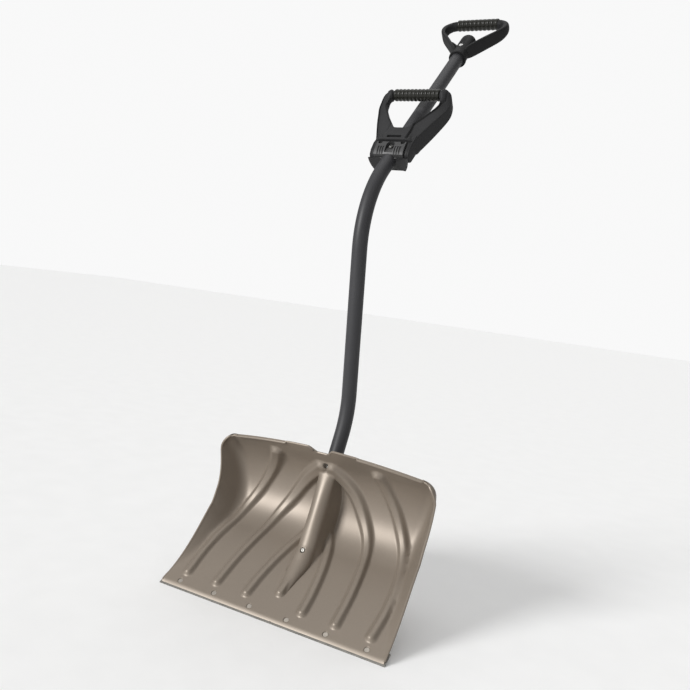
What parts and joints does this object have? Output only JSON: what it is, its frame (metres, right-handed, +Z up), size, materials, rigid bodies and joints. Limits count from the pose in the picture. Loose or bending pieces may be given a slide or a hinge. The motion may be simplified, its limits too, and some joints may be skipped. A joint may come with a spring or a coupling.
{
  "type": "snow shovel",
  "caption": "Snow shovel with a moulded curved scoop, bent steel handle tube, end D-grip and a fold-out assist D-grip part way up the handle.",
  "frame": {"origin": "middle of the cutting edge, on the narrow ground face of the wear strip", "axes": "+X across the scoop to its right as seen from the front, +Y from the scoop's open front to its back, +Z up with the shovel held in use"},
  "size_m": [0.4572, 0.6415, 1.241],
  "materials": {
    "scoop_resin": "satin metallic bronze-grey moulded resin",
    "strip_steel": "galvanised",
    "rivet_steel": "plated",
    "screw_steel": "zinc plated",
    "rivet_bright": "polished",
    "tube_paint": "satin charcoal",
    "grip_plastic": "satin black",
    "clamp_plastic": "satin black",
    "grip_rubber": "soft matt"
  },
  "bodies": {
    "handle": {"blade": "scoop_resin", "wear_strip": "strip_steel", "wear_strip_rivets": "rivet_steel", "socket_screw_upper": "screw_steel", "socket_screw_lower": "screw_steel", "handle_tube": "tube_paint", "top_grip": "grip_plastic", "top_grip_sleeve": "grip_rubber", "top_grip_rivet": "rivet_bright", "hinge_block": "clamp_plastic", "clamp_saddle": "clamp_plastic", "clamp_screws": "screw_steel", "clamp_nuts": "screw_steel", "locating_screw": "screw_steel", "hinge_pins": "screw_steel"},
    "assist_grip": {"assist_grip": "grip_plastic", "assist_grip_sleeve": "grip_rubber"}
  },
  "joints": [
    {"name": "assist_grip_fold", "type": "hinge", "parent": "handle", "child": "assist_grip", "pos_m": [0, 0.24933, 0.84604], "axis": [1, 0, 0], "range_deg": [0, 90]}
  ]
}
